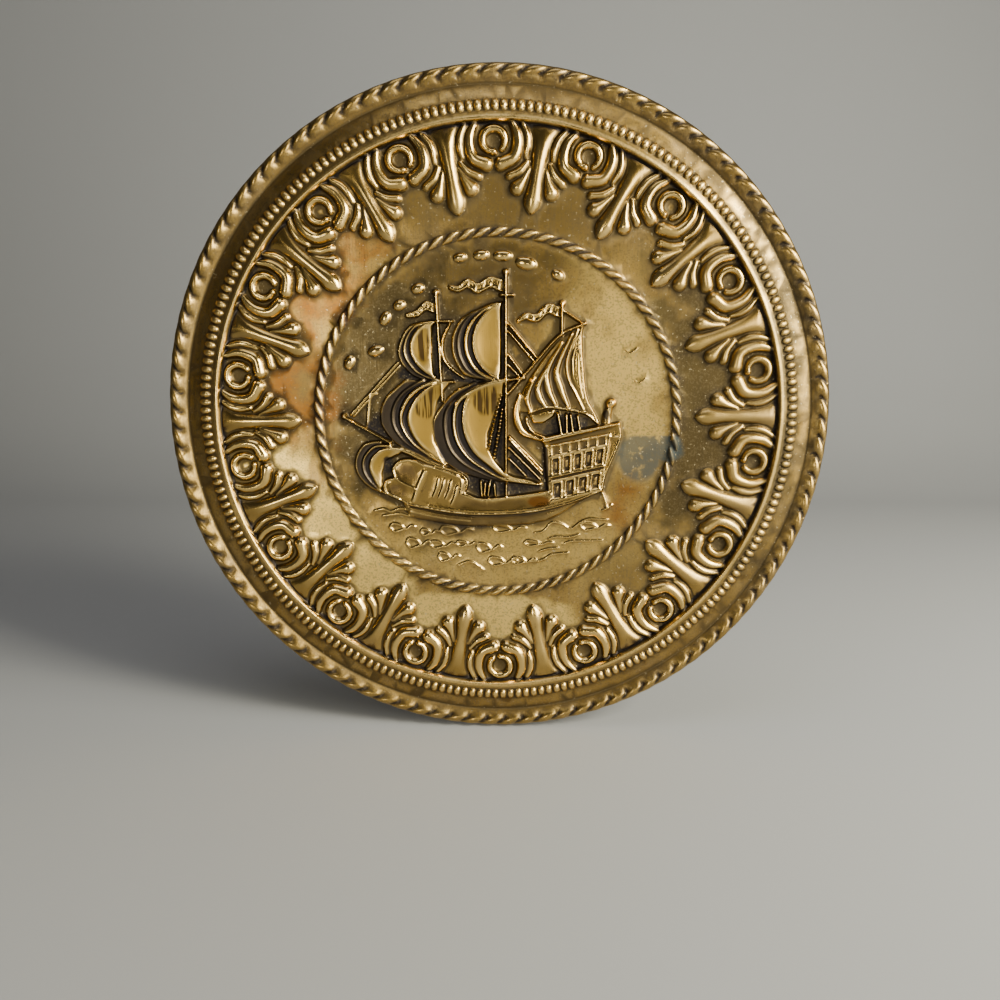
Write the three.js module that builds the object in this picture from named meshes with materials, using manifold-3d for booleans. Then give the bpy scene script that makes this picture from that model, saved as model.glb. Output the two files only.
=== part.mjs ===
import * as THREE from "three";
import Module from "manifold-3d";

// A round wall plate pressed from one brass sheet: a sailing ship inside a rope ring, a frieze of
// palmettes, a row of beads and a rolled edge twisted like a rope. All sizes are in millimetres.
// While it is built, x is right, y is up, z points at the viewer and the wall is z = 0.
const RIM_RADIUS = 140;
const SHEET = 0.8;
const TIP = 1.3;

// Rolled rope edge.
const ROLL = 2.7;
const ROPE_STRANDS = 105;
const ROPE_GROOVE = 0.75;
const ROPE_LAY = 0.4;
const LAND_OUTER = 139.2;
const LAND_INNER = 134.8;

// Sheet profile from the rope inwards: radius and height of each crease of the front.
const VALLEY = { r: 132.4, h: 2.5 };
const SHOULDER = { r: 126.3, h: 4.9 };
const BEAD_ROW = { r: 123.9, h: 7.3 };
const BEAD_FOOT = { r: 121.5, h: 6.3 };
const RIDGE = { r: 118.6, h: 7.4 };
const STEP_FOOT = { r: 117.1, h: 4.2 };
const FIELD = STEP_FOOT.h;
const BEADS = 225;
const BEAD_GAP = 1.35;

// Inner rope around the ship.
const INNER_ROPE = 75.9;
const INNER_ROPE_HALF = 2.1;
const INNER_ROPE_HEIGHT = 1.9;
const INNER_STRANDS = 74;
const INNER_GROOVE = 0.8;

// Facets of the plain rings.
const FRONT_SIDES = 64;
const BEAD_SIDES = 45;
const BACK_SIDES = 36;

// Frieze.
const MOTIFS = 18;
const MOTIF_START = THREE.MathUtils.degToRad(0.7);
const EYE = { r: 110.7, ring: 4.1, half: 1.7, height: 2.1, opening: 0.7 };

// Heights of the ship's parts above the field.
const SAIL_HEIGHT = 2.3;
const SPAR_HEIGHT = 2.9;
const HULL_HEIGHT = 2.2;
const CASTLE_HEIGHT = 2.7;
const STAY_HEIGHT = 1.0;
const FLAG_HEIGHT = 1.3;
const WAVE_HEIGHT = 1.15;
const DOME_HEIGHT = 1.5;

// The plate hangs by the back of its edge at the top; this point becomes the origin.
const REST_RADIUS = (LAND_OUTER + LAND_INNER) / 2;

const kit = await Module();
kit.setup();

function toSolid(points, faces) {
  return new kit.Manifold(
    new kit.Mesh({
      numProp: 3,
      vertProperties: new Float32Array(points.flat()),
      triVerts: new Uint32Array(faces.flat()),
    }),
  );
}

function toGeometry(solid) {
  const mesh = solid.getMesh();
  const geometry = new THREE.BufferGeometry();
  geometry.setAttribute("position", new THREE.BufferAttribute(mesh.vertProperties, 3));
  geometry.setIndex(new THREE.BufferAttribute(mesh.triVerts, 1));
  geometry.computeVertexNormals();
  return geometry;
}

// The plate: rings of points from the front centre out round the rolled edge to the back centre.
function plate() {
  const points = [];
  const faces = [];

  // A ring whose odd points drop by groove, turned by phase steps of its own pitch.
  const ring = (r, h, count, phase = 0, groove = 0) => {
    const step = (2 * Math.PI) / count;
    return Array.from({ length: count }, (_, i) => {
      const angle = (i + phase) * step;
      const z = h - (i % 2) * groove;
      points.push([r * Math.cos(angle), r * Math.sin(angle), z]);
      return { id: points.length - 1, angle };
    });
  };

  // Triangles between two rings, stepping round whichever ring is behind.
  const zip = (a, b) => {
    const turn = 2 * Math.PI;
    const gap = (p) => {
      const apart = p.angle - a[0].angle;
      return Math.abs(Math.atan2(Math.sin(apart), Math.cos(apart)));
    };
    const first = b.reduce((best, p, i) => (gap(p) < gap(b[best]) ? i : best), 0);
    const shift = Math.round((b[first].angle - a[0].angle) / turn) * turn;
    const at = (list, k, back) => {
      const p = list[k % list.length];
      return { id: p.id, angle: p.angle - back + turn * Math.floor(k / list.length) };
    };
    const atA = (i) => at(a, i, 0);
    const atB = (j) => at(b, first + j, shift);
    let i = 0;
    let j = 0;
    while (i < a.length || j < b.length) {
      const stepB = i === a.length || (j < b.length && atB(j + 1).angle < atA(i + 1).angle);
      if (stepB) {
        faces.push([atA(i).id, atB(j).id, atB(j + 1).id]);
        j += 1;
      } else {
        faces.push([atA(i).id, atB(j).id, atA(i + 1).id]);
        i += 1;
      }
    }
  };

  const roll = (degrees) => {
    const angle = THREE.MathUtils.degToRad(degrees);
    return [RIM_RADIUS - ROLL + ROLL * Math.cos(angle), ROLL + ROLL * Math.sin(angle)];
  };
  const strand = (degrees, phase) => ring(...roll(degrees), 2 * ROPE_STRANDS, phase, ROPE_GROOVE);
  const ropeTop = FIELD + INNER_ROPE_HEIGHT;
  const rise = INNER_ROPE_HALF * 0.45;

  const rings = [
    ring(INNER_ROPE - INNER_ROPE_HALF, FIELD, INNER_STRANDS / 2),
    ring(INNER_ROPE - rise, ropeTop, 2 * INNER_STRANDS, 2 * ROPE_LAY, INNER_GROOVE),
    ring(INNER_ROPE + rise, ropeTop, 2 * INNER_STRANDS, 0, INNER_GROOVE),
    ring(INNER_ROPE + INNER_ROPE_HALF, FIELD, INNER_STRANDS / 2),
    ring(STEP_FOOT.r, STEP_FOOT.h, FRONT_SIDES),
    ring(RIDGE.r, RIDGE.h, FRONT_SIDES),
    ring(BEAD_FOOT.r, BEAD_FOOT.h, BEAD_SIDES),
    ring(BEAD_ROW.r, BEAD_ROW.h, 2 * BEADS, 0, BEAD_GAP),
    ring(SHOULDER.r, SHOULDER.h, BEAD_SIDES),
    ring(VALLEY.r, VALLEY.h, FRONT_SIDES),
    strand(125, 2 * ROPE_LAY),
    strand(55, 0),
    ring(...roll(-15), ROPE_STRANDS, 0),
    ring(LAND_OUTER, 0, BACK_SIDES),
    ring(LAND_INNER, 0, BACK_SIDES),
    ring(VALLEY.r, VALLEY.h - SHEET, BACK_SIDES),
    ring(RIDGE.r + 0.5 * SHEET, RIDGE.h - 1.25 * SHEET, BACK_SIDES),
    ring(STEP_FOOT.r + 0.6 * SHEET, STEP_FOOT.h - SHEET, BACK_SIDES),
  ];

  points.push([0, 0, FIELD]);
  const front = points.length - 1;
  points.push([0, 0, FIELD - SHEET]);
  const back = points.length - 1;
  const inner = rings[0];
  const last = rings[rings.length - 1];
  inner.forEach((p, i) => faces.push([front, p.id, inner[(i + 1) % inner.length].id]));
  rings.slice(1).forEach((next, i) => zip(rings[i], next));
  last.forEach((p, i) => faces.push([p.id, back, last[(i + 1) % last.length].id]));
  return toSolid(points, faces);
}

// A raised ridge along a path, with a half-width at each point and pointed ends.
function ridge(path, half, height) {
  const halves = path.map((_, i) => (Array.isArray(half) ? half[i] : half));
  const widest = Math.max(...halves);
  const low = FIELD;
  const points = [];
  const faces = [];
  const ends = [];
  path.forEach(([x, y], i) => {
    const [x0, y0] = path[Math.max(i - 1, 0)];
    const [x1, y1] = path[Math.min(i + 1, path.length - 1)];
    const length = Math.hypot(x1 - x0, y1 - y0);
    const dx = (x1 - x0) / length;
    const dy = (y1 - y0) / length;
    const w = halves[i];
    const z = FIELD + height * (0.6 + (0.4 * w) / widest);
    points.push([x - dy * w, y + dx * w, low], [x, y, z], [x + dy * w, y - dx * w, low]);
    const tip = Math.min(w, TIP);
    if (i === 0) ends.push([x - dx * tip, y - dy * tip, low]);
    if (i === path.length - 1) ends.push([x + dx * tip, y + dy * tip, low]);
  });
  const n = path.length - 1;
  for (let i = 0; i < n; i += 1) {
    const [l, c, r] = [3 * i, 3 * i + 1, 3 * i + 2];
    const [nl, nc, nr] = [l + 3, c + 3, r + 3];
    faces.push([l, c, nl], [c, nc, nl], [r, nr, c], [c, nr, nc], [l, nl, r], [r, nl, nr]);
  }
  points.push(...ends);
  const start = points.length - 2;
  const end = points.length - 1;
  const [l, c, r] = [3 * n, 3 * n + 1, 3 * n + 2];
  faces.push([start, 1, 0], [start, 2, 1], [start, 0, 2]);
  faces.push([l, c, end], [r, end, c], [l, end, r]);
  return toSolid(points, faces);
}

// A raised area with sloping sides inside an outline that runs counter-clockwise.
function plateau(outline, height, slope) {
  const n = outline.length;
  const low = FIELD;
  const inset = outline.map(([x, y], i) => {
    const before = new THREE.Vector2(...outline[(i + n - 1) % n]);
    const after = new THREE.Vector2(...outline[(i + 1) % n]);
    const here = new THREE.Vector2(x, y);
    const a = here.clone().sub(before).normalize();
    const b = after.clone().sub(here).normalize();
    const inward = new THREE.Vector2(-a.y - b.y, a.x + b.x);
    inward.multiplyScalar(slope / (1 + a.dot(b)));
    return [x + inward.x, y + inward.y];
  });
  const points = [
    ...outline.map(([x, y]) => [x, y, low]),
    ...inset.map(([x, y]) => [x, y, FIELD + height]),
  ];
  const faces = [];
  for (let i = 0; i < n; i += 1) {
    const j = (i + 1) % n;
    faces.push([i, j, n + j], [i, n + j, n + i]);
  }
  const flat = outline.map((p) => new THREE.Vector2(...p));
  THREE.ShapeUtils.triangulateShape(flat, []).forEach(([a, b, c]) => {
    faces.push([n + a, n + b, n + c], [a, c, b]);
  });
  return toSolid(points, faces);
}

// A low round knob.
function dome(x, y, a, b, height, sides = 6) {
  const points = [[x, y, FIELD], [x, y, FIELD + height]];
  const faces = [];
  for (let i = 0; i < sides; i += 1) {
    const angle = (2 * Math.PI * i) / sides;
    points.push([x + a * Math.cos(angle), y + b * Math.sin(angle), FIELD]);
    const here = 2 + i;
    const next = 2 + ((i + 1) % sides);
    faces.push([1, here, next], [0, next, here]);
  }
  return toSolid(points, faces);
}

// A curve through a few points, cut into equal steps.
function curve(points, steps) {
  const line = new THREE.SplineCurve(points.map((p) => new THREE.Vector2(...p)));
  return line.getPoints(steps).map((p) => [p.x, p.y]);
}

// A bellied sail: crescent folds between its windward edge and its inner edge, then the smooth cloth.
function sail(outer, inner, folds, cloth) {
  const steps = 3;
  const from = curve(outer, steps);
  const to = curve(inner, steps);
  const forms = [];
  for (let f = 0; f < folds; f += 1) {
    const t = (f + 0.5) / folds;
    const path = from.map(([x, y], i) => [x + (to[i][0] - x) * t, y + (to[i][1] - y) * t]);
    const half = from.map(([x, y], i) => {
      const gap = Math.hypot(to[i][0] - x, to[i][1] - y);
      return Math.max((0.5 * gap) / folds, 0.5);
    });
    forms.push(ridge(path, half, SAIL_HEIGHT));
  }
  const body = [...to, ...cloth];
  if (THREE.ShapeUtils.isClockWise(body.map((p) => new THREE.Vector2(...p)))) body.reverse();
  forms.push(plateau(body, 0.7 * SAIL_HEIGHT, 1.2));
  return forms;
}

// One palmette with its spear on the plate's radius, and the eye to its left.
function motif(angle) {
  const place = (turn) => ([u, v]) => [
    v * Math.cos(turn) + u * Math.sin(turn),
    v * Math.sin(turn) - u * Math.cos(turn),
  ];
  const forms = [];
  const both = (path, half, height) => {
    [1, -1].forEach((side) => {
      forms.push(ridge(path.map(([u, v]) => place(angle)([side * u, v])), half, height));
    });
  };
  const spear = [[0, 115.4], [0, 100.4], [0, 89.4], [0, 85.2]];
  forms.push(ridge(spear.map(place(angle)), [5.2, 2.8, 3.8, 1.8], 2.3));
  both([[9, 114.6], [6, 107.8]], [1.2, 1.4], 1.8);
  both([[12.7, 114.4], [9.8, 107.6], [13.9, 101.2]], [1.3, 2.2, 2.9], 2.3);
  both([[4.4, 99.2], [7, 92.8]], [1.2, 2.8], 2);

  const middle = place(angle + Math.PI / MOTIFS)([0, EYE.r]);
  const facing = angle + Math.PI / MOTIFS + Math.PI;
  const sweep = 2 * (Math.PI - EYE.opening);
  const steps = 5;
  const ring = Array.from({ length: steps + 1 }, (_, i) => {
    const a = facing + EYE.opening + (sweep * i) / steps;
    return [middle[0] + EYE.ring * Math.cos(a), middle[1] + EYE.ring * Math.sin(a)];
  });
  forms.push(ridge(ring, EYE.half, EYE.height));
  return forms;
}

// The ship, its flags, the sea and the clouds.
function picture() {
  const forms = [];
  const spar = (path, half = 0.9) => forms.push(ridge(path, half, SPAR_HEIGHT));
  const stay = (path) => forms.push(ridge(path, 0.6, STAY_HEIGHT));
  const flag = (path) => forms.push(ridge(curve(path, 4), [2.6, 2.3, 2, 1.6, 0.9], FLAG_HEIGHT));

  spar([[3.5, 59], [3.6, -21]]);
  spar([[-25.2, 51], [-22.8, 9]]);
  spar([[26.8, 46.4], [26.8, 35.5]]);
  spar([[-35, 39.5], [-18.3, 40.8]], 0.8);
  spar([[-18, 16.2], [11, 17.6]], 0.9);
  spar([[4.6, 11.6], [26, 35.5], [35.5, 39.8]], 0.9);
  spar([[-63.4, 1.2], [-45, -9.4]], 0.9);
  [[3.5, 60], [-25.3, 51.9], [26.8, 47.4], [-64, 1.6]].forEach(([x, y]) => {
    forms.push(dome(x, y, 1.7, 1.7, SPAR_HEIGHT, 6));
  });

  forms.push(...sail(
    [[-2, 48], [-16, 40], [-18.2, 32], [-15, 23], [-7, 17.6]],
    [[1, 47], [-8, 39], [-9.5, 31], [-6.5, 23], [1, 17.6]],
    3,
    [[3, 18], [3, 46]],
  ));
  forms.push(...sail(
    [[-29, 41], [-38, 37], [-40.2, 29.5], [-37, 21], [-28, 16.6]],
    [[-26, 40.4], [-34, 35], [-35.6, 29], [-33, 22.6], [-26, 17.4]],
    2,
    [[-20, 18], [-21, 39.6]],
  ));
  forms.push(...sail(
    [[-33, 16.4], [-44, 10], [-49, 3], [-45, -7], [-24, -18.6]],
    [[-20, 15.4], [-31, 12.6], [-37.4, 1], [-34, -9], [-23, -18.2]],
    3,
    [[-19, -14], [-16, 12]],
  ));
  forms.push(...sail(
    [[-12, 16], [-23, 6.5], [-26.4, -4], [-18, -21.6], [4, -28.6]],
    [[4, 16], [-9, 11.5], [-14.6, 0], [-10, -14], [6, -25.6]],
    4,
    [[19.6, -27.4], [9, -20.4], [6.2, -8], [6.4, 15.2]],
  ));
  forms.push(...sail(
    [[25.6, 33.6], [14.6, 21.4], [9, 10.5], [9.2, 5], [12.4, 2.4]],
    [[34.6, 38.6], [32.6, 28], [34, 17], [37.4, 7], [41.8, 0]],
    5,
    [[42.6, -0.6], [36.6, 17.6], [36, 38.4]],
  ));
  forms.push(...sail(
    [[-37, -14.6], [-48, -9.6], [-57, -10.6], [-60, -18], [-51.6, -30]],
    [[-41, -14.6], [-49, -13.4], [-52.6, -16], [-52.8, -22], [-50.4, -29]],
    2,
    [[-45, -22], [-42, -17.6]],
  ));

  forms.push(ridge([[9, 0.4], [11.6, -5.4], [17, -7.4]], [1.3, 1.5, 0.7], SAIL_HEIGHT));

  flag([[1, 55], [-4, 56.6], [-8, 54], [-14, 56], [-19.4, 54]]);
  flag([[-27, 46.8], [-30, 48], [-33, 44.8], [-37.4, 43.6]]);
  flag([[25, 44.6], [20, 46], [16, 42.4], [9, 41.2]]);
  stay([[-62, 2.6], [-40.6, 22]]);
  stay([[-53.5, 10], [-55, -2]]);
  stay([[4, 40], [17, 26]]);
  stay([[5, 26], [11, 18]]);

  const hull = [
    [-49.6, -31.2], [-38, -37], [-22, -40], [-8, -41], [8, -40.6], [22, -38.4], [46, -31.4],
    [45, -26], [22, -31], [4, -31], [-14, -30.4], [-13.4, -27], [-17, -22.6], [-28, -19.2],
    [-38, -16.4], [-43.4, -18.2], [-44.4, -22], [-49.2, -27],
  ];
  forms.push(plateau(hull, HULL_HEIGHT, 0.7));
  forms.push(ridge(
    [[-49, -31], [-38, -36.6], [-22, -39.4], [-8, -40.4], [8, -40], [22, -37.6], [45.6, -30.8]],
    1.2,
    HULL_HEIGHT + 0.7,
  ));
  [2.6, 5.2].forEach((drop) => {
    const strake = [[-40 + drop, -36], [-12, -41], [14, -40.6], [44 - drop, -33]];
    forms.push(ridge(strake.map(([x, y]) => [x, y - drop]), 1, WAVE_HEIGHT));
  });

  const castle = [[24, -35], [46, -30], [53.2, -7], [52, -1.6], [19.4, -8.6]];
  forms.push(plateau(castle, CASTLE_HEIGHT, 0.8));
  forms.push(ridge([[19, -8], [36, -5.4], [52, -1.8]], 1.3, CASTLE_HEIGHT + 0.7));
  forms.push(ridge([[22, -24.6], [35, -23.4], [48.6, -20]], 0.9, CASTLE_HEIGHT + 0.6));
  forms.push(dome(47.5, 7, 2.6, 3, 2, 6));
  forms.push(ridge([[47, 3.6], [46.4, -1]], 1.1, 1.6));
  forms.push(ridge([[47, -32], [49.4, -39]], 1, WAVE_HEIGHT));

  const wave = (x, y, length, half) => {
    const bend = 0.25 * half;
    const reach = length / 2;
    const path = [[x - reach, y + bend], [x, y - bend], [x + reach, y + bend]];
    forms.push(ridge(path, [0.7, half, 0.7], WAVE_HEIGHT));
  };
  const rows = [
    { y: -47.4, from: -45, to: 49, count: 7 },
    { y: -54.4, from: -38, to: 43, count: 6 },
    { y: -61.4, from: -26, to: 30, count: 4 },
    { y: -67, from: -12, to: 12, count: 2 },
  ];
  rows.forEach(({ y, from, to, count }) => {
    const pitch = (to - from) / count;
    for (let i = 0; i < count; i += 1) {
      wave(from + (i + 0.5) * pitch, y + (i % 2) * 1.2, 0.9 * pitch, 1.7);
    }
  });
  wave(-47, -39.6, 14, 1.5);

  const clouds = [
    [-62, 24.5, 2, 3], [-50.8, 29.3, 3.5, 2], [-46.5, 42.5, 2, 3], [-40.5, 47.8, 2.5, 2],
    [-32.7, 54.5, 2.7, 2], [-15.2, 66.8, 2.7, 1.7], [-6.5, 67.8, 3.3, 2], [2.3, 67.5, 4, 2],
    [11.8, 64.5, 4.5, 2.5], [25, 59.8, 2.7, 2],
  ];
  clouds.forEach(([x, y, a, b]) => forms.push(dome(x, y, a, b, DOME_HEIGHT)));
  [[55.5, 28.5], [59.8, 16.2]].forEach(([x, y]) => {
    forms.push(ridge([[x - 2.2, y + 1.2], [x, y - 0.8], [x + 2.2, y + 1.2]], 0.7, STAY_HEIGHT));
  });
  return forms;
}

// The castle's windows are sunk into it, leaning with its sides.
function windows() {
  const pane = (x, y) => {
    const [half, tall, lean] = [1.1, 2.3, 0.5];
    const corners = [
      [-half - lean, -tall], [half - lean, -tall], [half + lean, tall], [-half + lean, tall],
    ];
    const top = FIELD + CASTLE_HEIGHT;
    const points = [
      ...corners.map(([u, v]) => [x + 0.6 * u, y + 0.6 * v, top - 0.9]),
      ...corners.map(([u, v]) => [x + u, y + v, top + 0.2]),
    ];
    const faces = [[0, 2, 1], [0, 3, 2], [4, 5, 6], [4, 6, 7]];
    for (let i = 0; i < 4; i += 1) {
      const j = (i + 1) % 4;
      faces.push([i, j, 4 + j], [i, 4 + j, 4 + i]);
    }
    return toSolid(points, faces);
  };
  const upper = [[25.6, -18], [31, -16.8], [36.4, -15.6], [41.8, -14.4], [46.6, -13.2]];
  const lower = [[28, -29.4], [33.4, -28.4], [38.6, -27.2], [43.6, -26]];
  return [...upper, ...lower].map(([x, y]) => pane(x, y));
}

const pitch = (2 * Math.PI) / MOTIFS;
const frieze = Array.from({ length: MOTIFS }, (_, i) => motif(MOTIF_START + i * pitch)).flat();
const pressed = kit.Manifold.union([plate(), ...frieze, ...picture()]);
const finished = pressed.subtract(kit.Manifold.union(windows()));

const brass = new THREE.MeshStandardMaterial({ color: 0xb08d4a, metalness: 1, roughness: 0.35 });
brass.name = "brass";
const plaque = new THREE.Mesh(toGeometry(finished), brass);
plaque.name = "plaque";

// Stand it against the wall: the front faces -Y, the back rests on y = 0 and the top rest is the origin.
const hung = new THREE.Group();
hung.rotation.x = Math.PI / 2;
hung.position.z = -REST_RADIUS;
hung.add(plaque);

const part = new THREE.Group();
part.add(hung);
export default part;
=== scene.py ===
import math

import bpy
import numpy as np
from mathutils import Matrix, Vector


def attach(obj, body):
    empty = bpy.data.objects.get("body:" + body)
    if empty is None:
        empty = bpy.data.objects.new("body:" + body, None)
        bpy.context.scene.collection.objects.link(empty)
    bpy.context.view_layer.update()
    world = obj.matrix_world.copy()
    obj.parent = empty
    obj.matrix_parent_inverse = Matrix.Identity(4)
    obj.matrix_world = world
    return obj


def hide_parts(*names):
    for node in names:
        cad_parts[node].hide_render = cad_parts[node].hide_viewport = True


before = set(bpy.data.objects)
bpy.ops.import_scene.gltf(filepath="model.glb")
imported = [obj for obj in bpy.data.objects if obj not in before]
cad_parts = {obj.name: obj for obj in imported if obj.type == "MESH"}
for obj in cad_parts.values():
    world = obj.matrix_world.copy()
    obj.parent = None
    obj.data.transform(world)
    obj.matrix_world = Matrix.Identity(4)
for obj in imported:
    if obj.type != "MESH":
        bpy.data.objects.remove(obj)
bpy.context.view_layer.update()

# Plate sizes in millimetres. x is right, y is up, h is the height off the wall.
RIM = 140.0
SHEET = 0.8
ROLL = 2.7
ROLL_JOIN = 135.2
ROPE_STRANDS = 105
ROPE_GROOVE = 1.15
ROPE_START = 133.6
ROPE_RISE = 2.2
LAND_OUTER = 139.2
LAND_INNER = 134.8
REST = (LAND_OUTER + LAND_INNER) / 2
FIELD = 4.2
STEP_R = 117.1
RELIEF_END = 118
PROFILE = ((0, FIELD), (STEP_R, FIELD), (118.5, 7.35), (118.8, 7.4), (121.5, 6.3), (126.3, 4.9), (132.4, 2.5),
           (135.6, 4.8))
BEADS = 225
BEAD_R = 123.9
BEAD_HEIGHT = 1.6
BEAD_ALONG = 1.55
BEAD_ACROSS = 2.35
INNER_ROPE = 75.9
INNER_HALF = 1.9
INNER_HEIGHT = 1.8
INNER_STRANDS = 74
MOTIFS = 18
MOTIF_START = math.radians(0.7)
MOTIF_MIDDLE = 100
MOTIF_REACH = 20
SPEAR_TIP = 83.5
SPEAR_FOOT = 117.3
EYE_R = 110.7
EYE_RING = 4.4

# Height raster of the front.
CELL = 0.2
REACH = 136.0
LINE = np.arange(-REACH, REACH + CELL / 2, CELL, dtype=np.float32)
GX, GY = np.meshgrid(LINE, LINE)
GR = np.hypot(GX, GY)
AROUND = np.arctan2(GY, GX) / (2 * math.pi)
relief = np.zeros_like(GX)
# Painted soot and shade: dark tarnish together with darkening beside the raised work, at the step, in the
# valley and in the rope's gaps.
soot_and_shade = np.zeros_like(GX)
# Sail cloth, whose colour gets a painted sheen.
cloth_sheen = np.zeros_like(GX)
RELIEF_SOFT = 0.22
SURFACE_SOFT = 0.14


def blur(grid, sigma):
    """Gaussian blur of a grid, sigma in millimetres."""
    reach = max(1, int(3 * sigma / CELL))
    k = np.exp(-0.5 * (np.arange(-reach, reach + 1) * CELL / sigma) ** 2)
    k = (k / k.sum()).astype(np.float32)
    for axis in (0, 1):
        pad = [(0, 0), (0, 0)]
        pad[axis] = (reach, reach)
        wide = np.pad(grid, pad, mode="edge")
        out = np.zeros_like(grid)
        for i, w in enumerate(k):
            cut = [slice(None), slice(None)]
            cut[axis] = slice(i, i + grid.shape[axis])
            out += w * wide[tuple(cut)]
        grid = out
    return grid


def window(x0, x1, y0, y1):
    """Slices of the grid that cover a box."""
    cols = slice(max(0, int((x0 + REACH) / CELL)), min(len(LINE), int((x1 + REACH) / CELL) + 2))
    rows = slice(max(0, int((y0 + REACH) / CELL)), min(len(LINE), int((y1 + REACH) / CELL) + 2))
    return rows, cols


def spline(points, step=0.3):
    """Points along a smooth curve through the given ones, with the curve's own parameter."""
    p = np.array(points, dtype=float)
    if len(p) == 2:
        n = max(3, int(np.hypot(*(p[1] - p[0])) / step))
        t = np.linspace(0, 1, n)
        return p[0] + (p[1] - p[0]) * t[:, None], t
    q = np.vstack([2 * p[0] - p[1], p, 2 * p[-1] - p[-2]])
    out, par = [], []
    for i in range(len(p) - 1):
        a, b, c, d = q[i:i + 4]
        n = max(3, int(np.hypot(*(c - b)) / step))
        t = np.linspace(0, 1, n, endpoint=i == len(p) - 2)[:, None]
        out.append(0.5 * (2 * b + (c - a) * t + (2 * a - 5 * b + 4 * c - d) * t ** 2
                          + (3 * b - a - 3 * c + d) * t ** 3))
        par.append((i + t[:, 0]) / (len(p) - 1))
    return np.vstack(out), np.concatenate(par)


def even(points, count=41):
    """Evenly numbered points along a smooth curve."""
    path, _ = spline(points, 0.2)
    t, own = np.linspace(0, 1, count), np.linspace(0, 1, len(path))
    return np.column_stack([np.interp(t, own, path[:, k]) for k in (0, 1)])


def ridge(points, half, height):
    """A rounded ridge along a curve; half-widths and heights are given at even steps along it."""
    path, par = spline(points)
    half = np.interp(par, np.linspace(0, 1, np.size(half)), np.atleast_1d(half))
    height = np.interp(par, np.linspace(0, 1, np.size(height)), np.atleast_1d(height))
    for (x, y), w, h in zip(path, half, height):
        at = window(x - w, x + w, y - w, y + w)
        d = ((GX[at] - x) ** 2 + (GY[at] - y) ** 2) / (w * w)
        relief[at] = np.maximum(relief[at], h * np.clip(1 - d, 0, 1) ** 0.75)


def inside(outline, margin=1.0):
    """The grid window of a closed outline, and each cell's depth inside it."""
    p = np.array(outline, dtype=np.float32)
    (left, low), (right, high) = p.min(axis=0) - margin, p.max(axis=0) + margin
    at = window(left, right, low, high)
    x, y = GX[at], GY[at]
    odd = np.zeros(x.shape, dtype=bool)
    near = np.full(x.shape, 1e9, dtype=np.float32)
    for (x0, y0), (x1, y1) in zip(p, np.roll(p, -1, axis=0)):
        dx, dy = x1 - x0, y1 - y0
        cross = (y0 > y) != (y1 > y)
        odd ^= cross & (x < x0 + (y - y0) * dx / (dy if dy else 1e-9))
        t = np.clip(((x - x0) * dx + (y - y0) * dy) / (dx * dx + dy * dy + 1e-9), 0, 1)
        near = np.minimum(near, np.hypot(x - x0 - t * dx, y - y0 - t * dy))
    return at, np.where(odd, near, 0)


def area(outline, height, edge):
    """A raised area with a rounded edge."""
    at, depth = inside(outline)
    t = 1 - np.clip(depth / edge, 0, 1)
    relief[at] = np.maximum(relief[at], np.where(depth > 0, height * np.sqrt(1 - t * t), 0))


def pit(outline, deep, edge):
    """A sunk area with a sloping edge."""
    at, depth = inside(outline)
    relief[at] -= deep * np.clip(depth / edge, 0, 1)


def paint_soot_and_shade(outline, strength):
    """Dark tarnish and painted shade inside an outline."""
    at, depth = inside(outline)
    soot_and_shade[at] = np.maximum(soot_and_shade[at], strength * np.clip(depth / 0.8, 0, 1))


def dome(x, y, a, b, height, turn=0.0):
    """A rounded oval boss with half-axes a and b."""
    at = window(x - a - b, x + a + b, y - a - b, y + a + b)
    u = (GX[at] - x) * math.cos(turn) + (GY[at] - y) * math.sin(turn)
    v = (GY[at] - y) * math.cos(turn) - (GX[at] - x) * math.sin(turn)
    cap = height * np.sqrt(np.clip(1 - (u / a) ** 2 - (v / b) ** 2, 0, 1))
    relief[at] = np.maximum(relief[at], cap)


# The palmette frieze. Leaves are given as (u, v): u across the motif, v out from the plate's centre.
LEAVES = (
    ([(8.9, 117), (6.3, 112.8), (5.4, 109), (5.7, 105.2)], [1.4, 1.8, 1.8, 1.2], [1.7, 2.1, 2.1, 1.3]),
    ([(13.2, 117), (10.2, 112.6), (9.3, 108), (10.4, 103.6), (14.8, 100.7)],
     [1.5, 2.3, 2.6, 2.8, 3.1], [1.8, 2.3, 2.6, 2.8, 2.9]),
    ([(4.5, 103.2), (7.0, 99.2), (10.6, 96.9)], [1.2, 1.9, 1.9], [1.5, 2.0, 1.9]),
    ([(3.2, 101.2), (5.0, 96.4), (6.9, 92.8)], [0.9, 1.9, 3.2], [1.4, 2.1, 2.6]))


def spear(c, s):
    """A rounded stem that opens to the step, with a drop-shaped end."""
    x, y = MOTIF_MIDDLE * c, MOTIF_MIDDLE * s
    at = window(x - MOTIF_REACH, x + MOTIF_REACH, y - MOTIF_REACH, y + MOTIF_REACH)
    v = GX[at] * c + GY[at] * s
    u = GX[at] * s - GY[at] * c
    stem = np.interp(v, [SPEAR_TIP, 84.6, 86.4, 88.8, 92, 96, 100, 105, 110, 113, 115, SPEAR_FOOT],
                     [0, 1.9, 3.3, 3.95, 3.6, 3.1, 3.0, 3.3, 3.8, 4.7, 5.8, 7.4])
    crown = np.interp(v, [SPEAR_TIP, 86.4, 89.4, 96, 104, 111, SPEAR_FOOT],
                      [1.2, 2.2, 2.7, 2.4, 2.5, 2.2, 1.5])
    across = np.abs(u) / np.maximum(stem, 0.01)
    body = crown * np.clip(1 - across ** 2, 0, 1) ** 0.8
    relief[at] = np.maximum(relief[at], np.where((v > SPEAR_TIP) & (v < SPEAR_FOOT), body, 0))


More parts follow.
